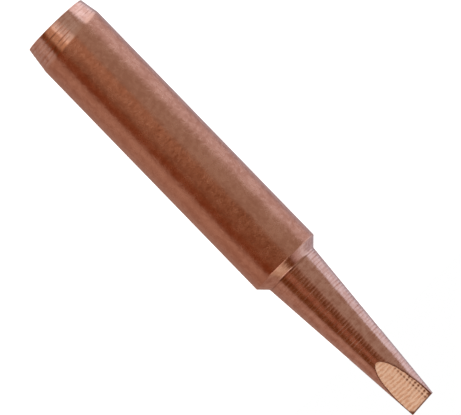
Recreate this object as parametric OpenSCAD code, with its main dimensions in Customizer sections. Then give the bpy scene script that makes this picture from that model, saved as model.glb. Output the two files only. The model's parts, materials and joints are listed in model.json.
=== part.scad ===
// Plug-in soldering iron tip with a chisel edge, turned from one bar of copper.
// The seat face lies on Z = 0, the axis is Z, and the chisel edge runs along X.

/* [Shank] */
// Diameter of the plain shank that plugs into the iron
shank_d = 9.525; // [6:0.005:16]
// Length from the seat face to the edge of the shoulder
shank_l = 39.7; // [20:0.1:80]
// Round on the edge where the shank meets the shoulder
shank_edge_r = 0.15; // [0.05:0.05:0.3]

/* [Lead-in taper] */
// Length of the turned taper that guides the shank into the iron
lead_l = 2.8; // [1:0.1:6]
// How far the taper comes in on each side at the seat face
lead_drop = 0.44; // [0.1:0.02:1]
// Break on the rim of the seat face
seat_break = 0.08; // [0.02:0.02:0.3]

/* [Shoulder] */
// How far the shoulder steps in on each side
shoulder_step = 1.1; // [0.5:0.05:2]
// Slope of the shoulder, measured from the axis
shoulder_angle = 45; // [30:1:70]
// Fillet that the tool's nose leaves at the root of the working cone
root_fillet_r = 0.3; // [0.1:0.05:0.5]

/* [Working cone] */
// Length from the foot of the shoulder to the chisel edge
cone_l = 22.7; // [12:0.1:40]
// Width of the chisel edge, which is the diameter of the cone there
edge_w = 3.6; // [2:0.1:5]

/* [Chisel] */
// Length of each flat along the axis
flat_l = 7.5; // [3:0.1:12]
// Thickness left at the edge between the two flats
edge_t = 0.55; // [0.2:0.05:1.5]

/* [Hidden] */

shank_r = shank_d / 2;
seat_r = shank_r - lead_drop;
root_r = shank_r - shoulder_step;
root_z = shank_l + shoulder_step / tan(shoulder_angle);
edge_z = root_z + cone_l;
edge_r = edge_w / 2;

arc_steps = 6;
turned_fn = 128;
// How far a cutter reaches past the metal that it removes
overcut = 1;

// Radius of the working cone at height z
function cone_r(z) = edge_r + (root_r - edge_r) * (edge_z - z) / cone_l;

// Unit vector from point a to point b
function toward(a, b) = (b - a) / norm(b - a);

// Points of the arc of radius r that rounds the corner between a and b
function rounded(a, corner, b, r) =
    let (
        u = toward(corner, a),
        v = toward(corner, b),
        half = acos(u * v) / 2,
        reach = r / tan(half),
        centre = corner + (u + v) / norm(u + v) * r / sin(half),
        start = corner + u * reach - centre,
        finish = corner + v * reach - centre,
        start_angle = atan2(start[1], start[0]),
        turn = atan2(
            start[0] * finish[1] - start[1] * finish[0],
            start * finish
        )
    )
    [for (i = [0 : arc_steps])
        let (angle = start_angle + turn * i / arc_steps)
        centre + r * [cos(angle), sin(angle)]];

// Corners of the turned profile, as [radius, height]
seat_centre = [0, 0];
seat_rim = [seat_r, 0];
lead_end = [shank_r, lead_l];
shank_end = [shank_r, shank_l];
root = [root_r, root_z];
edge_rim = [edge_r, edge_z];
edge_centre = [0, edge_z];

// Half of the tip's outline, turned about the axis to make the blank
module turned_profile() {
    polygon(concat(
        [
            seat_centre,
            seat_rim + toward(seat_rim, seat_centre) * seat_break,
            seat_rim + toward(seat_rim, lead_end) * seat_break,
            lead_end
        ],
        rounded(lead_end, shank_end, root, shank_edge_r),
        rounded(shank_end, root, edge_rim, root_fillet_r),
        [edge_rim, edge_centre]
    ));
}

module turned_blank() {
    rotate_extrude($fn = turned_fn) turned_profile();
}

// Wedge of metal that is milled away to leave one flat, on the +Y side
module flat_cut() {
    flat_z = edge_z - flat_l;
    flat_r = cone_r(flat_z);
    slope = (flat_r - edge_t / 2) / flat_l;
    reach = root_r + overcut;
    rotate([90, 0, 90])
        linear_extrude(height = 2 * reach, center = true)
            polygon([
                [edge_t / 2 - slope * overcut, edge_z + overcut],
                [flat_r + slope * overcut, flat_z - overcut],
                [reach + slope * overcut, flat_z - overcut],
                [reach + slope * overcut, edge_z + overcut]
            ]);
}

module chisel_tip() {
    color("#A8654A")
        difference() {
            turned_blank();
            for (side = [0, 1])
                mirror([0, side, 0]) flat_cut();
        }
}

chisel_tip();
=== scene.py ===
"""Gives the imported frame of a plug-in soldering tip its looks.

The tip is one bar of copper. It is turned from a profile, which leaves the lathe's rings on its taper,
shoulder and cone, and two passes of a milling cutter leave the chisel. The plain shank keeps the matte
skin of the tumbled bar. Lengths are in metres and angles in degrees, unless a name says otherwise.
"""

import json
import logging
import math
from dataclasses import dataclass
from enum import Enum
from typing import Callable, Iterator, Mapping, NamedTuple, Optional, Sequence, Union

import bpy
from mathutils import Matrix, Vector


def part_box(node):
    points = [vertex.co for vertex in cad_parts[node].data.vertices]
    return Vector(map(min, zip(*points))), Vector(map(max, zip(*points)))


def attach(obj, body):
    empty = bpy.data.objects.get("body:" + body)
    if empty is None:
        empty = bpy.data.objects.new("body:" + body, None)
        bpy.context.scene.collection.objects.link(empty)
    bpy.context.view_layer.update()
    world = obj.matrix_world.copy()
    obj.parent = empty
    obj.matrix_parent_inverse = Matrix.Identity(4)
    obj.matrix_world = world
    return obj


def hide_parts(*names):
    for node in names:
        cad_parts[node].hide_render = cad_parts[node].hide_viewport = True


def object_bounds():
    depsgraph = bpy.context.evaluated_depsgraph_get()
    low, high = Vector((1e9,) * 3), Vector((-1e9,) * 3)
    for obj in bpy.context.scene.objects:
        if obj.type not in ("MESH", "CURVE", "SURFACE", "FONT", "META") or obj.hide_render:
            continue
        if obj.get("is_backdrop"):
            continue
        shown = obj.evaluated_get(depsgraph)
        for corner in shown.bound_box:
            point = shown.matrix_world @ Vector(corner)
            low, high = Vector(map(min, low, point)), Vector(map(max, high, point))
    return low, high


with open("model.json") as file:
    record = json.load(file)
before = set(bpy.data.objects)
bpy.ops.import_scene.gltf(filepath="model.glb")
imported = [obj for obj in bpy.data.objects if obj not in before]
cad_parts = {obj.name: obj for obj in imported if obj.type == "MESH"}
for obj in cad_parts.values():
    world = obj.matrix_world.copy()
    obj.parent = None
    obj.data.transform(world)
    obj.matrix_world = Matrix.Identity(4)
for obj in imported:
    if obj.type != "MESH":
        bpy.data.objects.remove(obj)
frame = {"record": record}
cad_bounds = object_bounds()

LOG = logging.getLogger("copper_tip")
NODE = "chisel_tip"
BODY = "root"
MM = 0.001
MICRON = 0.000001

ABOVE_ZERO = 100.0
"""Whole sweeps of the cutter, added to a count of them that has to stay above zero."""

Colour = tuple[float, float, float]
Number = Union[int, float]
Value = Union["Socket", Number, bool, str, Sequence[float], bpy.types.ID]
Settings = Mapping[str, object]
Inputs = Mapping[Union[str, int], Value]


# --- Node trees ---


def placed(name: str, data: bpy.types.ID) -> bpy.types.Object:
    """Returns a new object with that mesh or camera, at the origin of the scene."""
    made = bpy.data.objects.new(name, data)
    bpy.context.scene.collection.objects.link(made)
    return made


def arithmetic(operation: str, swapped: bool = False) -> Callable[["Socket", Value], "Socket"]:
    """Makes an operator of Socket.

    Args:
        operation: the operation of the Math node that it adds.
        swapped: whether its operands are swapped, as in a reflected operator.

    Returns:
        The operator.
    """

    def operator(self: "Socket", other: Value) -> "Socket":
        """Returns the result of the Math node."""
        return self.tree.math(operation, *((other, self) if swapped else (self, other)))

    return operator


class Socket:
    """An output of a node, on which arithmetic adds Math nodes to the node's tree."""

    def __init__(self, tree: "NodeTree", source: bpy.types.NodeSocket) -> None:
        """Wraps source, an output socket in tree."""
        self.tree = tree
        self.source = source

    __add__ = __radd__ = arithmetic("ADD")
    __sub__ = arithmetic("SUBTRACT")
    __rsub__ = arithmetic("SUBTRACT", swapped=True)
    __mul__ = __rmul__ = arithmetic("MULTIPLY")
    __truediv__ = arithmetic("DIVIDE")
    __pow__ = arithmetic("POWER")

    def __abs__(self) -> "Socket":
        """abs(self)."""
        return self.tree.math("ABSOLUTE", self)


class NodeTree:
    """A shader or geometry node tree that is written as Python expressions."""

    def __init__(self, tree: bpy.types.NodeTree) -> None:
        """Wraps tree, which new nodes are added to."""
        self.tree = tree

    def add(
        self, kind: str, settings: Optional[Settings] = None, inputs: Optional[Inputs] = None
    ) -> bpy.types.Node:
        """Adds one node.

        Args:
            kind: the node's type.
            settings: the node's own properties, which are set first.
            inputs: what goes into its sockets, by name or number. A Socket is linked.

        Returns:
            The new node.
        """
        node = self.tree.nodes.new(kind)
        for name, value in (settings or {}).items():
            setattr(node, name, value)
        for name, value in (inputs or {}).items():
            if isinstance(value, Socket):
                self.tree.links.new(value.source, node.inputs[name])
            else:
                node.inputs[name].default_value = value
        return node

    def get(
        self,
        kind: str,
        settings: Optional[Settings] = None,
        inputs: Optional[Inputs] = None,
        output: Union[str, int] = 0,
    ) -> Socket:
        """Adds one node, as add does.

        Args:
            kind: the node's type.
            settings: the node's own properties.
            inputs: what goes into its sockets.
            output: the name or number of the output that is wanted.

        Returns:
            That output.
        """
        return Socket(self, self.add(kind, settings, inputs).outputs[output])

    def math(self, operation: str, *values: Value) -> Socket:
        """Adds a Math node with these values and returns its result."""
        return self.get("ShaderNodeMath", {"operation": operation}, dict(enumerate(values)))

    def vector_math(self, operation: str, *values: Value) -> Socket:
        """Adds a Vector Math node with these vectors and returns its vector."""
        return self.get("ShaderNodeVectorMath", {"operation": operation}, dict(enumerate(values)))

    def dot(self, first: Value, second: Value) -> Socket:
        """Returns the dot product of two vectors."""
        settings = {"operation": "DOT_PRODUCT"}
        return self.get("ShaderNodeVectorMath", settings, {0: first, 1: second}, "Value")

    def scaled(self, vector: Value, factor: Value) -> Socket:
        """Returns vector times factor."""
        return self.get("ShaderNodeVectorMath", {"operation": "SCALE"}, {0: vector, "Scale": factor})

    def vector(self, x: Value, y: Value, z: Value) -> Socket:
        """Returns the vector (x, y, z)."""
        return self.get("ShaderNodeCombineXYZ", {}, {"X": x, "Y": y, "Z": z})

    def parts(self, vector: Socket) -> tuple[Socket, Socket, Socket]:
        """Returns the x, y and z of vector."""
        x, y, z = self.add("ShaderNodeSeparateXYZ", {}, {"Vector": vector}).outputs
        return Socket(self, x), Socket(self, y), Socket(self, z)

    def step(
        self, value: Value, start: Value, end: Value, low: Value = 0.0, high: Value = 1.0
    ) -> Socket:
        """Goes smoothly from one number to another.

        Args:
            value: what the step follows.
            start: the value at which it begins. It may be above end.
            end: the value at which it is complete.
            low: the result up to start.
            high: the result from end on.

        Returns:
            The stepped value.
        """
        inputs = {"Value": value, "From Min": start, "From Max": end, "To Min": low, "To Max": high}
        return self.get("ShaderNodeMapRange", {"interpolation_type": "SMOOTHSTEP"}, inputs)

    def noise(
        self,
        where: Value,
        scale: float = 1.0,
        detail: float = 2.0,
        roughness: float = 0.5,
        distortion: float = 0.0,
    ) -> Socket:
        """Returns noise from 0 to 1, about 0.5 on average.

        Args:
            where: the vector that the noise is read at.
            scale: its spots per unit of that vector.
            detail: how many finer layers are added.
            roughness: how strong the finer layers are.
            distortion: how far it is pulled out of shape.

        Returns:
            The noise.
        """
        inputs = {"Vector": where, "Scale": scale, "Detail": detail, "Roughness": roughness}
        return self.get("ShaderNodeTexNoise", {}, inputs | {"Distortion": distortion})

    def draw(self, number: Value) -> Socket:
        """Returns a value from 0 to 1 that is drawn anew for each number."""
        return self.get("ShaderNodeTexWhiteNoise", {"noise_dimensions": "1D"}, {"W": number})

    def mixed(self, factor: Value, first: Value, second: Value) -> Socket:
        """Returns the colour between first and second."""
        inputs = {"Factor": factor, 6: first, 7: second}
        return self.get("ShaderNodeMix", {"data_type": "RGBA"}, inputs, 2)

    def toned(self, tone: Value, dark: Colour, light: Colour) -> Socket:
        """Returns the colour between dark and light."""
        return self.mixed(tone, (*dark, 1.0), (*light, 1.0))


class GeometryTree(NodeTree):
    """A Geometry Nodes tree with named inputs."""

    def __init__(self, name: str) -> None:
        """Makes an empty tree that takes and gives geometry."""
        super().__init__(bpy.data.node_groups.new(name, "GeometryNodeTree"))
        self.tree.interface.new_socket("Geometry", in_out="INPUT", socket_type="NodeSocketGeometry")
        self.tree.interface.new_socket("Geometry", in_out="OUTPUT", socket_type="NodeSocketGeometry")
        self.group_in = self.add("NodeGroupInput")
        self.group_out = self.add("NodeGroupOutput")
        self.identifiers: dict[str, str] = {}

    def input(self, name: str, kind: str = "NodeSocketFloat") -> Socket:
        """Adds a named input of that socket type and returns it."""
        made = self.tree.interface.new_socket(name, in_out="INPUT", socket_type=kind)
        self.identifiers[name] = made.identifier
        return Socket(self, self.group_in.outputs[name])

    def attribute(self, name: str, kind: str = "FLOAT") -> Socket:
        """Returns the named attribute."""
        return self.get("GeometryNodeInputNamedAttribute", {"data_type": kind}, {"Name": name})

    def stored(self, geometry: Socket, name: str, value: Value, domain: str) -> Socket:
        """Returns geometry with value kept as a named attribute of that domain."""
        settings = {"data_type": "FLOAT", "domain": domain}
        inputs = {"Geometry": geometry, "Name": name, "Value": value}
        return self.get("GeometryNodeStoreNamedAttribute", settings, inputs)

    def finish(self, geometry: Socket) -> None:
        """Sends geometry to the tree's output."""
        self.tree.links.new(geometry.source, self.group_out.inputs["Geometry"])

    def apply(
        self, carrier: bpy.types.Object, name: str, values: Mapping[str, Value]
    ) -> bpy.types.Object:
        """Runs the tree on an object and keeps the result as a plain mesh.

        Args:
            carrier: the object that the tree starts from. It is removed.
            name: the result's name.
            values: the tree's inputs by name.

        Returns:
            The new object, at the origin.
        """
        modifier = carrier.modifiers.new(name, "NODES")
        modifier.node_group = self.tree
        for key, value in values.items():
            modifier[self.identifiers[key]] = value
        bpy.context.view_layer.update()
        evaluated = carrier.evaluated_get(bpy.context.evaluated_depsgraph_get())
        mesh = bpy.data.meshes.new_from_object(evaluated)
        mesh.name = name
        for slot in reversed(range(len(mesh.materials))):
            if mesh.materials[slot] is None:
                mesh.materials.pop(index=slot)
        bpy.data.objects.remove(carrier)
        return placed(name, mesh)


# --- Finishes ---


class ShaderTree(NodeTree):
    """A new material's node tree, with what every copper finish needs."""

    def __init__(self, name: str) -> None:
        """Makes an empty material of that name."""
        self.material = bpy.data.materials.new(name)
        self.material.use_nodes = True
        super().__init__(self.material.node_tree)
        self.tree.nodes.clear()
        self.place = self.get("ShaderNodeTexCoord", {}, {}, "Object")

    def bump(self, height: Value, depth: float, under: Optional[Socket] = None) -> Socket:
        """Returns a normal bent by height times depth, in metres, over the normal under it."""
        inputs = {"Height": height, "Distance": depth, "Strength": 1.0}
        return self.get("ShaderNodeBump", {}, inputs | ({"Normal": under} if under else {}))

    def metal(self, colour: Value, roughness: Value, normal: Value) -> bpy.types.Material:
        """Ends the tree in bare metal.

        Args:
            colour: its base colour.
            roughness: how matte it is.
            normal: its bent normal.

        Returns:
            The finished material.
        """
        inputs = {"Base Color": colour, "Roughness": roughness, "Normal": normal, "Metallic": 1.0}
        shader = self.get("ShaderNodeBsdfPrincipled", {}, inputs)
        self.add("ShaderNodeOutputMaterial", {}, {"Surface": shader})
        return self.material


@dataclass(frozen=True)
class TaperBorder:
    """The taper's border with the shank, which lies a little askew.

    The mesh and a finish share it. Rows between lowest and highest, as parts of its height, follow it.
    """

    height: float
    rise_along_x: float = 0.071
    rise_along_y: float = -0.074
    lowest: float = 0.1
    highest: float = 2.6

    def rise(self, x: Socket, y: Socket) -> Socket:
        """Returns how far the border lies above its height on the tip's axis."""
        return x * self.rise_along_x + y * self.rise_along_y

    def nearness(self, tree: NodeTree, height: Socket) -> Socket:
        """Returns 1 at the border's height, which fades to 0 at its lowest and highest part."""
        below = tree.step(height, self.lowest * self.height, self.height)
        return below * tree.step(height, self.highest * self.height, self.height)


class DotRow(NamedTuple):
    """A row of the small pits that chatter leaves on a flat, along the tip."""

    across: float
    lean: float
    first: float
    strength: float


@dataclass(frozen=True)
class ChiselFlat:
    """One of the two flats that meet in the chisel's edge, as meshes and finishes share it."""

    tip_length: float
    edge_radius: float
    cone_slope: float
    length: float = 7.5 * MM
    edge_thickness: float = 0.55 * MM
    end_slant: float = 0.073
    slanted_length: float = 1.5 * MM
    sweep_pitch: float = 0.51 * MM
    sweep_radius: float = 9.0 * MM
    sweep_waver: float = 0.75 * MM
    calm_from: float = -0.4 * MM
    calm_to: float = -1.0 * MM
    dot_radius: float = 0.19 * MM
    dot_squeeze: float = 1.15
    dot_link: float = 0.3
    dot_rows: tuple[DotRow, ...] = (
        DotRow(-1.00 * MM, -0.02, -2.1 * MM, 0.9),
        DotRow(-1.40 * MM, 0.0, -0.4 * MM, 1.0),
        DotRow(-1.76 * MM, 0.0, 0.9 * MM, 0.6),
    )

    @property
    def slope(self) -> float:
        """The angle between the flat and the tip's axis, in radians."""
        start = self.edge_radius + self.length * self.cone_slope
        return math.atan2(start - self.edge_thickness / 2, self.length)

    def spot(self, tree: NodeTree, place: Value) -> tuple[Socket, Socket]:
        """Returns how far a place on a flat lies across it, and along it from its middle."""
        x, y, z = tree.parts(place)
        across = x * tree.math("SIGN", y) * -1.0
        along = (z - (self.tip_length - self.length / 2)) / math.cos(self.slope)
        return across, along

    def cut_back(self, x: Socket) -> Socket:
        """Returns how far the working end, a little out of square, lies below the full length."""
        return (self.edge_radius - x) * self.end_slant

    def rim(self, tree: NodeTree, place: Value) -> tuple[Socket, Socket]:
        """Finds the edge where the flats meet the cone.

        Args:
            tree: the tree that the nodes are added to.
            place: a place on the tip.

        Returns:
            The distance to the edge over the flat, and the distance to it over the cone.
        """
        x, y, z = tree.parts(place)
        side = abs(y)
        radius = tree.math("SQRT", x * x + y * y)
        left = self.tip_length - z
        inside = left * self.cone_slope + self.edge_radius - radius
        outside = (left * math.tan(self.slope) + self.edge_thickness / 2 - side) * math.cos(self.slope)
        facing = side / radius * math.cos(self.slope) + self.cone_slope * math.sin(self.slope)
        crossing = tree.math("SQRT", tree.math("MAXIMUM", 1.0 - facing * facing, 0.02))
        return inside / crossing, outside / crossing

    def sweep(self, tree: NodeTree, across: Socket, along: Socket) -> Socket:
        """Counts the cutter's wavering sweeps from the flat's middle, in parts of a sweep."""
        place = tree.vector(across * 0.75, along * 0.4, 3.0 * MM)
        waver = (tree.noise(place, 1.0 / MM, roughness=0.55) - 0.5) * self.sweep_waver
        calm = tree.step(across, self.calm_from, self.calm_to)
        curve = across * across / (2 * self.sweep_radius)
        return (along + curve + waver * (1.0 - calm)) / self.sweep_pitch

    def dots(self, tree: NodeTree, across: Socket, along: Socket) -> Socket:
        """Finds the pits, which lie in rows near one side of the flat.

        Args:
            tree: the tree that the nodes are added to.
            across: how far a place lies across the flat.
            along: how far it lies along it from its middle.

        Returns:
            A value that is 1 in the middle of each pit.
        """
        total: Value = 0.0
        part = tree.math("FRACT", self.sweep(tree, across, along) + ABOVE_ZERO) - 0.5
        for row in self.dot_rows:
            beside = (across - row.across + along * row.lean) * self.dot_squeeze
            step = part * self.sweep_pitch
            reach = tree.math("SQRT", beside * beside + step * step) / self.dot_radius
            inside = tree.step(along, row.first, row.first + self.sweep_pitch)
            draw = tree.noise(tree.vector(row.across * 900.0, along / (0.5 * MM), 0.0), detail=1.0)
            dot = tree.step(reach, 1.2, 0.25) * tree.step(draw, 0.25, 0.6, 0.5, 1.0)
            link = tree.step(abs(beside), self.dot_radius, 0.0) * self.dot_link
            total = tree.math("MAXIMUM", dot, link) * inside * row.strength + total
        return total


@dataclass(frozen=True)
class TumbledCopper:
    """The matte skin of the tumbled bar: mottled, with short curved scratches and a few pits."""

    light: Colour = (0.835, 0.462, 0.343)
    dark: Colour = (0.72, 0.37, 0.265)
    pit: Colour = (0.20, 0.09, 0.06)
    roughness: float = 0.25
    cloud_size: float = 2.6 * MM
    mottle_size: float = 0.60 * MM
    scratch_size: float = 1.1 * MM
    scratch_width: float = 0.07
    pit_spacing: float = 1.7 * MM
    pit_radius: float = 0.11 * MM
    mottle_depth: float = 16.0 * MICRON
    scratch_depth: float = 2.8 * MICRON

    def material(self) -> bpy.types.Material:
        """Returns the shank's material."""
        tree = ShaderTree("tumbled_copper")
        cloud = tree.noise(tree.place, 1.0 / self.cloud_size, 1.0)
        mottle = tree.noise(tree.place, 1.0 / self.mottle_size, 1.0, 0.4, 0.4)
        light_scratch = self._scratches(tree, 0.0)
        dark_scratch = self._scratches(tree, 31.0 * MM)
        pit = self._pits(tree)
        scratches = light_scratch - dark_scratch
        tone = tree.step(mottle * 0.6 + cloud * 0.4 + scratches * 0.14, 0.34, 0.66)
        colour = tree.toned(tone, self.dark, self.light)
        colour = tree.mixed(pit * 0.8, colour, (*self.pit, 1.0))
        roughness = self.roughness + (mottle - 0.5) * 0.10 + (cloud - 0.5) * 0.12 + pit * 0.2
        normal = tree.bump(mottle, self.mottle_depth)
        normal = tree.bump(scratches - pit, self.scratch_depth, normal)
        return tree.metal(colour, roughness, normal)

    def _scratches(self, tree: ShaderTree, shift: float) -> Socket:
        """Returns 1 in short curved scratches that lie every way, drawn at that shift."""
        where = tree.vector_math("ADD", tree.place, (shift, shift, shift))
        bed = tree.noise(where, 1.0 / self.scratch_size, 0.0, 0.5, 1.4)
        ridge = abs(bed - 0.5)
        breaks = tree.noise(where, 1.9 / self.scratch_size, 0.0)
        return tree.step(ridge, self.scratch_width, 0.0) * tree.step(breaks, 0.48, 0.62)

    def _pits(self, tree: ShaderTree) -> Socket:
        """Returns 1 in the small pits, which only some of the places for them have."""
        inputs = {"Vector": tree.place, "Scale": 1.0 / self.pit_spacing, "Randomness": 1.0}
        cells = tree.add("ShaderNodeTexVoronoi", {}, inputs)
        reach = Socket(tree, cells.outputs["Distance"]) * self.pit_spacing
        chance = tree.parts(Socket(tree, cells.outputs["Color"]))[0]
        radius = chance * self.pit_radius
        return tree.step(reach, radius, radius * 0.3) * tree.step(chance, 0.5, 0.55)


@dataclass(frozen=True)
class TurnedCopper:
    """Bare copper off the lathe: rings in streaks, a dark rim where the flats cut it that is partly burr
    and partly painted edge shade, and a painted shade line in the root corner.
    """

    flat: ChiselFlat
    border: TaperBorder
    root_height: float
    light: Colour = (0.90, 0.56, 0.46)
    dark: Colour = (0.70, 0.37, 0.28)
    worn: Colour = (0.78, 0.42, 0.305)
    # A dark colour for the burr and for painted shade: the edge shade round the flats and the shade line
    # in the root corner.
    burr_and_shade: Colour = (0.26, 0.10, 0.055)
    roughness: float = 0.20
    ring_width: float = 0.14 * MM
    ring_depth: float = 4.0 * MICRON
    streak_length: float = 2.4 * MM
    patch_size: float = 0.8 * MM
    worn_from: float = 2.0 * MM
    worn_to: float = 2.9 * MM
    worn_end: float = 5.8 * MM
    worn_waver: float = 0.4 * MM
    # The width of the painted shade line in the root corner.
    root_shade_width: float = 0.28 * MM
    least_burr_and_shade: float = 0.12 * MM
    most_burr_and_shade: float = 0.22 * MM
    burr_and_shade_from: float = -0.4 * MM
    burr_and_shade_to: float = 1.1 * MM

    def material(self) -> bpy.types.Material:
        """Returns the material of the taper, shoulder and cone."""
        tree = ShaderTree("turned_copper")
        streaks = (1.0 / self.streak_length, 1.0 / self.streak_length, 1.0 / self.ring_width)
        rings = tree.noise(tree.vector_math("MULTIPLY", tree.place, streaks), roughness=0.6)
        patches = tree.noise(tree.place, 1.0 / self.patch_size, 3.0, 0.6)
        tone = tree.step(rings * 0.3 + patches * 0.7, 0.34, 0.64)
        colour = tree.toned(tone, self.dark, self.light)
        x, y, z = tree.parts(tree.place)
        height = z - self.border.rise(x, y) + (patches - 0.5) * self.worn_waver
        worn = tree.step(height, self.worn_from, self.worn_to)
        worn = worn * tree.step(height, self.worn_end, self.worn_to)
        colour = tree.mixed(worn, colour, (*self.worn, 1.0))
        # The dark rim round the flats on the cone is partly burr and partly painted edge shade.
        burr_and_shade = self._burr_and_edge_shade(tree, patches)
        colour = tree.mixed(burr_and_shade * 0.9, colour, (*self.burr_and_shade, 1.0))
        # Painted shade: a dark line in the root corner between the shoulder and the cone, darker in some
        # patches.
        beyond = abs(z - (self.root_height + self.root_shade_width * 0.75))
        painted_root_shade = tree.step(beyond, self.root_shade_width * 0.5, 0.0) * tree.step(patches, 0.3, 0.6, 0.2, 0.55)
        colour = tree.mixed(painted_root_shade, colour, (*self.burr_and_shade, 1.0))
        roughness = self.roughness + (patches - 0.5) * 0.12 + (rings - 0.5) * 0.15 + burr_and_shade * 0.2
        return tree.metal(colour, roughness, tree.bump(rings, self.ring_depth))

    def _burr_and_edge_shade(self, tree: ShaderTree, patches: Socket) -> Socket:
        """Returns 1 in the dark rim round the flats: partly the burr that the milling cutter raised,
        partly painted edge shade.
        """
        over_cone = self.flat.rim(tree, tree.place)[1]
        height = tree.parts(tree.place)[2] - (self.flat.tip_length - self.flat.length)
        reach = tree.step(patches, 0.3, 0.7, self.least_burr_and_shade, self.most_burr_and_shade)
        near = tree.step(height, self.burr_and_shade_from, self.burr_and_shade_to)
        return tree.step(over_cone, reach, reach * 0.4) * near


@dataclass(frozen=True)
class MilledCopper:
    """Copper fresh off the milling cutter: pale, with a dark rim where it meets the turned skin, partly
    burr and partly painted edge shade, and painted shade in the working edge's corners and along its
    end.
    """

    flat: ChiselFlat
    light: Colour = (1.00, 0.74, 0.56)
    dark: Colour = (0.75, 0.43, 0.27)
    # A dark colour for the burr and for painted shade: the edge shade round the flats, the working
    # edge's corners and its end.
    rim: Colour = (0.20, 0.07, 0.04)
    dot: Colour = (0.24, 0.09, 0.045)
    roughness: float = 0.33
    line_length: float = 0.8 * MM
    line_width: float = 0.16 * MM
    line_depth: float = 10.0 * MICRON
    patch_size: float = 0.5 * MM
    patch_depth: float = 14.0 * MICRON
    rim_width: float = 0.20 * MM
    corner_size: float = 0.72 * MM

    def material(self) -> bpy.types.Material:
        """Returns the material of the chisel's flats."""
        tree = ShaderTree("milled_copper")
        across, along = self.flat.spot(tree, tree.place)
        part = tree.math("FRACT", self.flat.sweep(tree, across, along) + ABOVE_ZERO)
        # Painted highlight on the ridges between the cutter's sweeps, and painted shade in the sweeps'
        # hollows.
        ridge_highlight_valley_shade = abs(part * 2.0 - 1.0)
        on_lines = tree.vector(across / self.line_length, along / self.line_width, 0.0)
        lines = tree.noise(on_lines, roughness=0.6)
        patches = tree.noise(tree.place, 1.0 / self.patch_size, 3.0, 0.6)
        tone = tree.step(ridge_highlight_valley_shade * 0.16 + lines * 0.36 + patches * 0.48, 0.34, 0.62)
        colour = tree.toned(tone, self.dark, self.light)
        colour = tree.mixed(self.flat.dots(tree, across, along) * 0.85, colour, (*self.dot, 1.0))
        # Darkens the rim, partly burr and partly painted edge shade, and paints shade in the working
        # edge's corners and along its end.
        burr_and_painted_shade = self._burr_and_painted_shade(tree, across, along, patches)
        colour = tree.mixed(burr_and_painted_shade, colour, (*self.rim, 1.0))
        roughness = self.roughness + (patches - 0.5) * 0.2 + burr_and_painted_shade * 0.15
        normal = tree.bump(patches, self.patch_depth, tree.bump(lines, self.line_depth))
        return tree.metal(colour, roughness, normal)

    def _burr_and_painted_shade(self, tree: ShaderTree, across: Socket, along: Socket, patches: Socket) -> Socket:
        """Finds the dark rim, partly burr and partly painted edge shade, which is wider on one side, and
        the painted shade in the working edge's corners and along its end.

        Args:
            tree: the tree that the nodes are added to.
            across: how far a place lies across the flat.
            along: how far it lies along it from its middle.
            patches: the noise that the rim's width follows.

        Returns:
            A value that is 1 in the rim and in the painted shade.
        """
        flat = self.flat
        over_flat = flat.rim(tree, tree.place)[0]
        reach = tree.step(across, 0.8 * MM, -0.8 * MM, 0.6, 1.0) * self.rim_width
        reach = reach * tree.step(patches, 0.3, 0.7, 0.7, 1.4)
        reach = reach * tree.step(along, -2.5 * MM, 1.5 * MM, 0.6, 1.1)
        # The rim is partly burr and partly painted edge shade, wider on one side.
        rim = tree.step(over_flat, reach, reach * 0.4)
        end = flat.length / 2 / math.cos(flat.slope) - flat.cut_back(tree.parts(tree.place)[0])
        left = (end - along) / self.corner_size
        beside = (flat.edge_radius - abs(across)) / self.corner_size
        # Painted shade in the working edge's corners.
        corner = tree.step(left + beside + (patches - 0.5) * 0.9, 1.3, 0.7)
        # Painted shade along the working end.
        edge = tree.step(left, 0.38, 0.12) * 0.8
        return tree.math("MAXIMUM", tree.math("MAXIMUM", rim, corner * 0.9), edge)


class Finish(Enum):
    """The three skins of the tip, numbered as the profile's rows carry them."""

    TUMBLED = 0
    TURNED = 1
    MILLED = 2


# --- The tip ---


class Corner(NamedTuple):
    """A corner of the turned profile, with the radius that rounds it."""

    radius: float
    height: float
    rounding: float = 0.0


class Stretch(NamedTuple):
    """The surface between two corners: its finish, its rows' spacing and its rings' depth."""

    finish: Finish
    spacing: float
    ring_depth: float


class Row(NamedTuple):
    """One row of the turned mesh, on the profile."""

    radius: float
    height: float
    finish: float
    ring_depth: float


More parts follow.
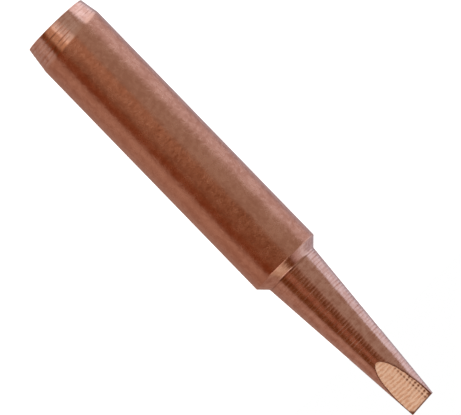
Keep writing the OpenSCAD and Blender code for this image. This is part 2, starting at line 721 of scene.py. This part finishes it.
@dataclass
class TurnedProfile:
    """The outline that the lathe follows, from the seat face up to the working end."""

    length: float
    shank_radius: float
    lead_length: float = 2.8 * MM
    lead_drop: float = 0.44 * MM
    seat_break: float = 0.08 * MM
    shank_length: float = 39.7 * MM
    shoulder_step: float = 1.1 * MM
    edge_width: float = 3.6 * MM
    lead_round: float = 2.0 * MM
    shank_round: float = 0.20 * MM
    root_round: float = 0.22 * MM
    edge_round: float = 0.03 * MM
    corner_steps: int = 4
    crisp_rows: float = 0.04 * MM
    fine_rows: float = 0.054 * MM

    @property
    def flat(self) -> ChiselFlat:
        """The chisel's flats, which are cut into the cone."""
        return ChiselFlat(self.length, self.edge_width / 2, self.cone_slope)

    @property
    def border(self) -> TaperBorder:
        """The border between the taper and the shank."""
        return TaperBorder(self.lead_length)

    @property
    def root_radius(self) -> float:
        """The cone's radius at the foot of the shoulder."""
        return self.shank_radius - self.shoulder_step

    @property
    def root_height(self) -> float:
        """The height of the foot of the shoulder, which slopes at 45 degrees."""
        return self.shank_length + self.shoulder_step

    @property
    def cone_slope(self) -> float:
        """How much the cone's radius loses for each unit of height."""
        return (self.root_radius - self.edge_width / 2) / (self.length - self.root_height)

    def corners(self) -> list[Corner]:
        """Returns the profile's corners, from the seat face's centre to the end face's."""
        return [
            Corner(0.0, 0.0),
            Corner(self.shank_radius - self.lead_drop, 0.0, self.seat_break),
            Corner(self.shank_radius, self.lead_length, self.lead_round),
            Corner(self.shank_radius, self.shank_length, self.shank_round),
            Corner(self.root_radius, self.root_height, self.root_round),
            Corner(self.edge_width / 2, self.length, self.edge_round),
            Corner(0.0, self.length),
        ]

    def stretches(self) -> list[Stretch]:
        """Returns what lies between the corners, in the same order."""
        return [
            Stretch(Finish.TURNED, 0.12 * MM, 5 * MICRON),
            Stretch(Finish.TURNED, self.fine_rows, 12 * MICRON),
            Stretch(Finish.TUMBLED, 1.2 * MM, 0.0),
            Stretch(Finish.TURNED, self.fine_rows, 4 * MICRON),
            Stretch(Finish.TURNED, self.fine_rows, 6 * MICRON),
            Stretch(Finish.TURNED, 0.15 * MM, 3 * MICRON),
        ]

    def rows(self) -> Iterator[Row]:
        """Yields the turned mesh's rows, close together at rings and at rounded corners."""
        corners = [Vector((c.radius, c.height)) for c in self.corners()]
        starts = list(corners)
        ends = list(corners)
        arcs: list[list[Vector]] = [[] for _ in corners]
        for i in range(1, len(corners) - 1):
            arcs[i] = self._arc(corners[i - 1], corners[i], corners[i + 1], self.corners()[i].rounding)
            ends[i] = arcs[i][0]
            starts[i] = arcs[i][-1]
        for i, stretch in enumerate(self.stretches()):
            yield from self._straight(starts[i], ends[i + 1], stretch)
            for point in arcs[i + 1][1:-1]:
                yield Row(point.x, point.y, stretch.finish.value, 0.0)
        yield Row(corners[-1].x, corners[-1].y, Finish.TURNED.value, 0.0)

    def _straight(self, start: Vector, end: Vector, stretch: Stretch) -> Iterator[Row]:
        """Spaces rows evenly, with a close row at each end that keeps the corner crisp.

        Args:
            start: where the straight begins.
            end: where it ends.
            stretch: what the surface on it is like.

        Yields:
            The rows, from start to end.
        """
        length = (end - start).length
        support = min(self.crisp_rows, length / 8)
        even = length - 2 * support
        count = max(1, round(even / stretch.spacing))
        for travel in [0.0, *(support + even * i / count for i in range(count + 1)), length]:
            point = start.lerp(end, travel / length)
            near_end = travel in (0.0, length)
            yield Row(point.x, point.y, stretch.finish.value, 0.0 if near_end else stretch.ring_depth)

    def _arc(self, before: Vector, corner: Vector, after: Vector, radius: float) -> list[Vector]:
        """Returns the points of the arc of that radius that rounds a corner.

        Args:
            before: the corner before it.
            corner: the corner that is rounded.
            after: the corner after it.
            radius: the arc's radius.

        Returns:
            The arc's points, from the side of `before` to the side of `after`.
        """
        u = (before - corner).normalized()
        v = (after - corner).normalized()
        half = u.angle(v) / 2
        reach = radius / math.tan(half)
        centre = corner + (u + v).normalized() * (radius / math.sin(half))
        first = corner + u * reach - centre
        last = corner + v * reach - centre
        parts = [i / self.corner_steps for i in range(self.corner_steps + 1)]
        return [centre + first.slerp(last, part) * radius for part in parts]

    def carrier(self) -> bpy.types.Object:
        """Returns an object whose points are the rows, with what they carry as attributes."""
        rows = list(self.rows())
        points = [Vector((row.radius, 0.0, row.height)) for row in rows]
        mesh = bpy.data.meshes.new("profile")
        mesh.from_pydata(points, [(i, i + 1) for i in range(len(points) - 1)], [])
        travel = 0.0
        travels = []
        outwards = []
        for i, point in enumerate(points):
            travel += (point - points[max(i - 1, 0)]).length
            travels.append(travel)
            along = (points[min(i + 1, len(points) - 1)] - points[max(i - 1, 0)]).normalized()
            outwards.extend((along.z, 0.0, -along.x))
        for name, values in {
            "travel": travels,
            "finish": [row.finish for row in rows],
            "ring_depth": [row.ring_depth for row in rows],
        }.items():
            mesh.attributes.new(name, "FLOAT", "POINT").data.foreach_set("value", values)
        mesh.attributes.new("outward", "FLOAT_VECTOR", "POINT").data.foreach_set("vector", outwards)
        return placed("profile", mesh)


@dataclass
class MillingPass:
    """The path of the milling cutter over one flat, as the solid that it takes away."""

    flat: ChiselFlat
    overrun: float = 0.9 * MM
    width: float = 6.0 * MM
    height: float = 3.0 * MM
    spacing: float = 0.07 * MM
    depth: float = 6 * MICRON
    dot_depth: float = 35 * MICRON

    def build(self) -> bpy.types.Object:
        """Returns the cutter's solid for the flat that faces -Y."""
        tree = GeometryTree("milling_pass")
        size = tree.input("Size", "NodeSocketVector")
        across = tree.input("Points Across", "NodeSocketInt")
        along = tree.input("Points Along", "NodeSocketInt")
        turn = tree.input("Turn", "NodeSocketVector")
        place = tree.input("Place", "NodeSocketVector")
        block_inputs = {"Size": size, "Vertices X": across, "Vertices Y": along, "Vertices Z": 2}
        block = tree.get("GeometryNodeMeshCube", {}, block_inputs)
        x, y, z = tree.parts(tree.get("GeometryNodeInputPosition"))
        dig = self._scallops(tree, x, y) + self.flat.dots(tree, x, y) * self.dot_depth
        underside = tree.math("LESS_THAN", z, 0.0)
        offset = tree.vector(0.0, 0.0, dig * underside * -1.0)
        block = tree.get("GeometryNodeSetPosition", {}, {"Geometry": block, "Offset": offset})
        turned = {"Geometry": block, "Translation": place, "Rotation": turn}
        block = tree.get("GeometryNodeTransform", {}, turned)
        block = tree.stored(block, "milled", 1.0, "FACE")
        tree.finish(tree.get("GeometryNodeRealizeInstances", {}, {"Geometry": block}))
        slope = self.flat.slope
        length = (self.flat.length + 2 * self.overrun) / math.cos(slope)
        centre_height = self.flat.tip_length - self.flat.length / 2
        centre_depth = self.flat.edge_thickness / 2 + self.flat.length / 2 * math.tan(slope)
        normal = Vector((0.0, -math.cos(slope), math.sin(slope)))
        middle = Vector((0.0, -centre_depth, centre_height)) + normal * (self.height / 2)
        return tree.apply(
            placed("cutter_blank", bpy.data.meshes.new("cutter_blank")),
            "milling_cutter",
            {
                "Size": (self.width, length, self.height),
                "Points Across": round(self.width / self.spacing),
                "Points Along": round(length / self.spacing),
                "Turn": (math.pi / 2 - slope, 0.0, 0.0),
                "Place": tuple(middle),
            },
        )

    def _scallops(self, tree: GeometryTree, x: Socket, y: Socket) -> Socket:
        """Returns how deep the cutter's sweeps cut below the ridges between them."""
        phase = self.flat.sweep(tree, x, y)
        part = tree.math("FRACT", phase + ABOVE_ZERO)
        draw = tree.draw(tree.math("FLOOR", phase))
        return (1.0 - (part * 2.0 - 1.0) ** 2.0) * (0.5 + draw) * self.depth


@dataclass
class CopperTip:
    """The whole tip: the turned bar less the two milling passes."""

    profile: TurnedProfile
    columns: int = 132
    ring_pitch: float = 0.432 * MM
    hollow_depth: float = 0.6
    groove_half: float = 0.2
    least_groove: float = 0.35
    streak_length: float = 1.5 * MM
    streak_width: float = 0.24 * MM
    streak_depth: float = 1.5
    merge_distance: float = 0.2 * MICRON
    seed: float = 7.0
    sharp_angle: float = 32.0

    def build(self) -> bpy.types.Object:
        """Returns the finished tip as one mesh, with its three finishes."""
        profile = self.profile
        cutter = MillingPass(profile.flat).build()
        tree = GeometryTree("turned_and_milled_tip")
        columns = tree.input("Columns", "NodeSocketInt")
        pitch = tree.input("Ring Pitch")
        seed = tree.input("Seed")
        cutter_in = tree.input("Cutter", "NodeSocketObject")
        skins = [tree.input(finish.name.title(), "NodeSocketMaterial") for finish in Finish]
        bar = self._turned(tree, columns, pitch, seed)
        tip = self._milled(tree, bar, cutter_in)
        tip = self._shaded(tree, tip)
        tip = tree.get("GeometryNodeRealizeInstances", {}, {"Geometry": tip})
        finish = tree.attribute("finish")
        milled = tree.attribute("milled")
        chosen = (True, tree.math("GREATER_THAN", finish, 0.5), tree.math("GREATER_THAN", milled, 0.5))
        for skin, selection in zip(skins, chosen):
            inputs = {"Geometry": tip, "Selection": selection, "Material": skin}
            tip = tree.get("GeometryNodeSetMaterial", {}, inputs)
        tree.finish(tip)
        made = tree.apply(
            profile.carrier(),
            "copper_tip",
            {
                "Columns": self.columns,
                "Ring Pitch": self.ring_pitch,
                "Seed": self.seed,
                "Cutter": cutter,
                "Tumbled": TumbledCopper().material(),
                "Turned": TurnedCopper(profile.flat, profile.border, profile.root_height).material(),
                "Milled": MilledCopper(profile.flat).material(),
            },
        )
        bpy.data.objects.remove(cutter)
        return made

    def _turned(self, tree: GeometryTree, columns: Socket, pitch: Socket, seed: Socket) -> Socket:
        """Turns the profile round the axis and cuts the lathe's rings.

        Args:
            tree: the tree that it is added to.
            columns: how many columns go round the bar.
            pitch: the distance between the rings.
            seed: what the rings' depths are drawn from.

        Returns:
            The closed bar.
        """
        profile = Socket(tree, tree.group_in.outputs["Geometry"])
        rows = tree.get("GeometryNodeAttributeDomainSize", {}, {"Geometry": profile}, "Point Count")
        size = {"Size X": 1.0, "Size Y": 1.0, "Vertices X": columns + 1.0, "Vertices Y": rows}
        grid = tree.get("GeometryNodeMeshGrid", {}, size)
        index = tree.get("GeometryNodeInputIndex")
        column = tree.math("FLOOR", (index + 0.5) / rows)
        row = index - column * rows

        def on_row(value: Socket, kind: str = "FLOAT") -> Socket:
            """Returns what the profile has on this point's row."""
            settings = {"data_type": kind, "domain": "POINT"}
            inputs = {"Geometry": profile, "Value": value, "Index": row}
            return tree.get("GeometryNodeSampleIndex", settings, inputs)

        point = tree.parts(on_row(tree.get("GeometryNodeInputPosition"), "FLOAT_VECTOR"))
        outward = tree.parts(on_row(tree.attribute("outward", "FLOAT_VECTOR"), "FLOAT_VECTOR"))
        travel = on_row(tree.attribute("travel"))
        ring_depth = on_row(tree.attribute("ring_depth"))
        finish = on_row(tree.attribute("finish"))
        turn = tree.math("MODULO", column, columns) / columns * math.tau
        ahead = tree.math("COSINE", turn)
        aside = tree.math("SINE", turn)
        spot = tree.vector(
            point[0] * ahead / self.streak_length,
            point[0] * aside / self.streak_length,
            travel / self.streak_width,
        )
        cut = self._rings(tree, travel / pitch, spot, seed) * ring_depth
        radius = point[0] - outward[0] * cut
        height = point[2] - outward[2] * cut
        flat = self.profile.flat
        near_end = tree.step(point[2], flat.tip_length - flat.slanted_length, flat.tip_length)
        height = height - flat.cut_back(radius * ahead) * near_end
        border = self.profile.border
        height = height + radius * border.rise(ahead, aside) * border.nearness(tree, point[2])
        place = tree.vector(radius * ahead, radius * aside, height)
        grid = tree.get("GeometryNodeSetPosition", {}, {"Geometry": grid, "Position": place})
        grid = tree.stored(grid, "finish", finish, "POINT")
        merging = {"Geometry": grid, "Distance": self.merge_distance}
        return tree.get("GeometryNodeMergeByDistance", {}, merging)

    def _rings(self, tree: GeometryTree, phase: Socket, spot: Socket, seed: Socket) -> Socket:
        """Cuts rings that are about 1 deep.

        Args:
            tree: the tree that the nodes are added to.
            phase: how many rings lie below a place.
            spot: the place, in sizes of the streaks that the rings break into.
            seed: what the rings' depths are drawn from.

        Returns:
            How deep the surface lies below the untouched bar.
        """
        ring = tree.math("FLOOR", phase)
        part = phase - ring
        draw = tree.draw(ring + seed * 17.0)
        hollow = (1.0 - (part * 2.0 - 1.0) ** 2.0) * self.hollow_depth
        streaks = tree.noise(spot, roughness=0.6)
        groove = tree.step(abs(part - 0.5), self.groove_half, 0.0) * (draw + self.least_groove)
        groove = groove * tree.step(streaks, 0.34, 0.58, 0.3, 1.2)
        return hollow + groove + (streaks - 0.5) * self.streak_depth

    @staticmethod
    def _milled(tree: GeometryTree, bar: Socket, cutter: Socket) -> Socket:
        """Takes the cutter's path off both sides of the bar."""
        cut = tree.get("GeometryNodeObjectInfo", {}, {"Object": cutter}, "Geometry")
        half_turn = {"Geometry": cut, "Rotation": (0.0, 0.0, math.pi)}
        settings = {"operation": "DIFFERENCE", "solver": "MANIFOLD"}
        for path in (cut, tree.get("GeometryNodeTransform", {}, half_turn)):
            bar = tree.get("GeometryNodeMeshBoolean", settings, {"Mesh 1": bar, "Mesh 2": path})
        return bar

    def _shaded(self, tree: GeometryTree, tip: Socket) -> Socket:
        """Shades the tip smoothly and keeps the edges over the sharp angle crisp."""
        smooth = {"Geometry": tip, "Shade Smooth": True}
        tip = tree.get("GeometryNodeSetShadeSmooth", {"domain": "FACE"}, smooth)
        bend = tree.get("GeometryNodeInputMeshEdgeAngle")
        sharp = tree.math("GREATER_THAN", bend, math.radians(self.sharp_angle))
        crisp = {"Geometry": tip, "Selection": sharp, "Shade Smooth": False}
        return tree.get("GeometryNodeSetShadeSmooth", {"domain": "EDGE"}, crisp)


# --- The studio ---


@dataclass(frozen=True)
class Viewpoint:
    """Where the tip is looked at from, and how it lies in the frame."""

    bearing: float = -13.8
    elevation: float = 2.45
    axis_fall: float = 45.88
    distance: float = 0.9216
    lens: float = 600.0
    aim_height: float = 30.42 * MM
    aim_aside: float = 0.15 * MM

    @property
    def back(self) -> Vector:
        """The level direction from the tip to the viewer."""
        turn = math.radians(self.bearing)
        return Vector((math.sin(turn), -math.cos(turn), 0.0))

    @property
    def aside(self) -> Vector:
        """The level direction that lies to the upper right in the frame."""
        return self.back.cross(Vector((0.0, 0.0, 1.0)))

    def camera(self) -> None:
        """Makes the scene's camera."""
        rise = math.radians(self.elevation)
        back = self.back * math.cos(rise) + Vector((0.0, 0.0, math.sin(rise)))
        axis = self.aside.cross(back)
        fall = math.radians(self.axis_fall)
        right = axis * math.cos(fall) + self.aside * math.sin(fall)
        up = self.aside * math.cos(fall) - axis * math.sin(fall)
        aim = Vector((0.0, 0.0, self.aim_height)) - self.aside * self.aim_aside
        data = bpy.data.cameras.new("camera")
        data.lens = self.lens
        data.clip_start = 0.01
        data.clip_end = 20.0
        made = placed("camera", data)
        turn = Matrix((right, up, back)).transposed().to_4x4()
        made.matrix_world = Matrix.Translation(aim + back * self.distance) @ turn
        bpy.context.scene.camera = made


class Card(NamedTuple):
    """One soft card of the studio, as the tip sees it, in degrees.

    bearing is counted round the tip from the viewer, towards the upper right. height is above the level.
    The halves are half the card's size, and edge is how softly it fades.
    """

    name: str
    bearing: float
    half_width: float
    height: float
    half_height: float
    edge: float
    colour: Colour


class Span(NamedTuple):
    """How far a near card reaches at one height, from its left to its right bearing in degrees."""

    height: float
    left: float
    right: float


@dataclass(frozen=True)
class NearCard:
    """A card so near that the two ends of the tip see it in different places."""

    name: str
    spans: tuple[Span, ...]
    colour: Colour
    left_glow: float = 1.0
    fade: float = 0.7
    distance: float = 0.30
    columns: int = 16

    def build(self, view: Viewpoint) -> bpy.types.Object:
        """Builds the card, which only the copper sees.

        Args:
            view: the viewpoint that its bearings are counted from.

        Returns:
            The card.
        """
        points = []
        glows = []
        for span in self.spans:
            for i in range(self.columns + 1):
                part = i / self.columns
                turn = math.radians(span.left + (span.right - span.left) * part)
                away = view.back * math.cos(turn) + view.aside * math.sin(turn)
                points.append(away * self.distance + Vector((0.0, 0.0, span.height)))
                rise = min(part / self.fade, 1.0)
                glows.append(self.left_glow + (1.0 - self.left_glow) * rise * rise * (3.0 - 2.0 * rise))
        wide = self.columns + 1
        starts = [row * wide + i for row in range(len(self.spans) - 1) for i in range(self.columns)]
        mesh = bpy.data.meshes.new(self.name)
        mesh.from_pydata(points, [], [(k, k + 1, k + wide + 1, k + wide) for k in starts])
        mesh.attributes.new("glow", "FLOAT", "POINT").data.foreach_set("value", glows)
        card = placed(self.name, mesh)
        tree = ShaderTree(self.name)
        glow = tree.get("ShaderNodeAttribute", {"attribute_name": "glow"}, {}, "Fac")
        shader = tree.get("ShaderNodeEmission", {}, {"Color": (*self.colour, 1.0), "Strength": glow})
        tree.add("ShaderNodeOutputMaterial", {}, {"Surface": shader})
        mesh.materials.append(tree.material)
        card.visible_camera = False
        card.visible_diffuse = False
        card.visible_shadow = False
        return card


@dataclass(frozen=True)
class Studio:
    """A white sweep lit by large soft cards."""

    view: Viewpoint
    ambient: Colour = (0.145, 0.049, 0.010)
    cards: tuple[Card, ...] = (
        Card("key", 100, 28, -11, 88, 12, (0.34, 0.34, 0.37)),
        Card("key, low part", 106, 36, -39, 30.5, 5, (0.53, 0.68, 0.81)),
        Card("key, high part", 108, 34, 13, 12, 5, (0.30, 0.49, 0.68)),
        Card("right wall", 45, 26, 0, 60, 13, (0.21, 0.23, 0.22)),
        Card("right wall, low part", 36, 18, -42, 28, 12, (0.08, 0.11, 0.11)),
        Card("backdrop right", 157, 25, 0, 60, 24, (0.29, 0.38, 0.48)),
        Card("left wall", -123.5, 57, 0, 60, 6, (0.22, 0.19, 0.18)),
        Card("left wall, low part", -123.5, 57, -40, 27, 6, (0.08, 0.12, 0.14)),
        Card("table in front", 1, 16, -23, 10, 8, (0.60, 0.67, 0.67)),
        Card("table front left", -25, 17, -25, 13, 12, (0.45, 0.35, 0.25)),
        Card("front top", -30, 35, 45, 24, 16, (0.78, 0.75, 0.72)),
        Card("overhead", -105, 50, 77, 15, 9, (0.48, 0.48, 0.40)),
        Card("slit", -27, 12, 6, 5, 8, (0.20, 0.10, 0.08)),
        Card("key, upper part", 105, 30, 44, 17, 10, (0.19, 0.31, 0.38)),
        Card("rim light right", 138, 14, 0, 60, 14, (0.03, 0.00, 0.00)),
        Card("rim light left", -142, 22, -20, 40, 16, (0.02, 0.04, 0.05)),
        Card("shelf", 12, 12, 14, 6, 8, (0.14, 0.12, 0.11)),
        Card("dark side", -52, 12, -7, 7, 6, (0.08, 0.01, 0.01)),
        Card("left window", -86, 9, 2, 24, 12, (0.07, 0.06, 0.05)),
    )
    floor_radius: float = 3.0
    floor_drop: float = 0.02 * MM
    floor_corners: int = 96
    floor_colour: Colour = (0.9, 0.9, 0.9)
    near_cards: tuple[NearCard, ...] = (
        NearCard(
            "warm_table",
            (Span(-70 * MM, -35.6, 17.6), Span(9 * MM, -35.6, 17.6)),
            (0.46, 0.28, 0.185),
            left_glow=0.42,
        ),
        NearCard(
            "flag",
            (
                Span(-12 * MM, 62, 72),
                Span(22 * MM, 62, 84),
                Span(55 * MM, 62, 82),
                Span(130 * MM, 62, 82),
            ),
            (0.35, 0.27, 0.22),
        ),
    )

    def build(self) -> None:
        """Makes the floor, the light and the camera."""
        self._light()
        self._floor()
        for card in self.near_cards:
            card.build(self.view)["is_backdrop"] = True
        self.view.camera()
        bpy.context.scene.view_settings.view_transform = "Standard"

    def _light(self) -> None:
        """Lights the world with the cards, but keeps it white for the viewer."""
        world = bpy.data.worlds.new("studio")
        world.use_nodes = True
        bpy.context.scene.world = world
        tree = NodeTree(world.node_tree)
        tree.tree.nodes.clear()
        way = tree.get("ShaderNodeTexCoord", {}, {}, "Generated")
        ahead = tree.dot(way, self.view.back)
        aside = tree.dot(way, self.view.aside)
        bearing = tree.math("ARCTAN2", aside, ahead)
        height = tree.math("ARCSINE", tree.parts(way)[2])
        glow: Value = self.ambient
        for card in self.cards:
            above = height - math.radians(card.height)
            off = tree.math("WRAP", bearing - math.radians(card.bearing), math.pi, -math.pi)
            seen = self._window(tree, off, card.half_width, card.edge)
            seen = seen * self._window(tree, above, card.half_height, card.edge)
            glow = tree.vector_math("ADD", glow, tree.scaled(card.colour, seen))
        camera = tree.get("ShaderNodeLightPath", {}, {}, "Is Camera Ray")
        colour = tree.mixed(camera, glow, (1.0, 1.0, 1.0, 1.0))
        shader = tree.get("ShaderNodeBackground", {}, {"Color": colour, "Strength": 1.0})
        tree.add("ShaderNodeOutputWorld", {}, {"Surface": shader})

    @staticmethod
    def _window(tree: NodeTree, off: Socket, half: float, edge: float) -> Socket:
        """Returns 1 within half of the middle and 0 past it, faded over the edge."""
        return tree.step(abs(off), math.radians(half + edge / 2), math.radians(half - edge / 2))

    def _floor(self) -> None:
        """Makes the pale floor, which the copper doesn't mirror."""
        mesh = bpy.data.meshes.new("floor")
        radius = self.floor_radius
        turns = (math.tau * i / self.floor_corners for i in range(self.floor_corners))
        rim = [(radius * math.cos(turn), radius * math.sin(turn), -self.floor_drop) for turn in turns]
        mesh.from_pydata(rim, [], [tuple(range(self.floor_corners))])
        floor = placed("floor", mesh)
        tree = ShaderTree("white_floor")
        inputs = {"Base Color": (*self.floor_colour, 1.0), "Roughness": 1.0, "Specular IOR Level": 0.0}
        inputs |= {"Emission Color": (1.0, 1.0, 1.0, 1.0), "Emission Strength": 1.0}
        shader = tree.get("ShaderNodeBsdfPrincipled", {}, inputs)
        tree.add("ShaderNodeOutputMaterial", {}, {"Surface": shader})
        mesh.materials.append(tree.material)
        floor.visible_glossy = False
        floor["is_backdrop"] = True


def main() -> None:
    """Builds the tip and its studio."""
    logging.basicConfig(level=logging.INFO, format="%(name)s: %(message)s")
    shank = next(mount for mount in frame["record"]["mounts"] if mount["name"] == "shank")
    low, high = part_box(NODE)
    profile = TurnedProfile(length=high.z - low.z, shank_radius=shank["dims"]["r_mm"] * MM)
    tip = CopperTip(profile).build()
    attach(tip, BODY)
    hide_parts(NODE)
    LOG.info("%s: %d faces, %d materials", tip.name, len(tip.data.polygons), len(tip.data.materials))
    Studio(Viewpoint()).build()
    boxes = {"cad": cad_bounds, "visual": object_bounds()}
    sizes = {name: [list(corner) for corner in box] for name, box in boxes.items()}


if __name__ == "__main__":
    main()
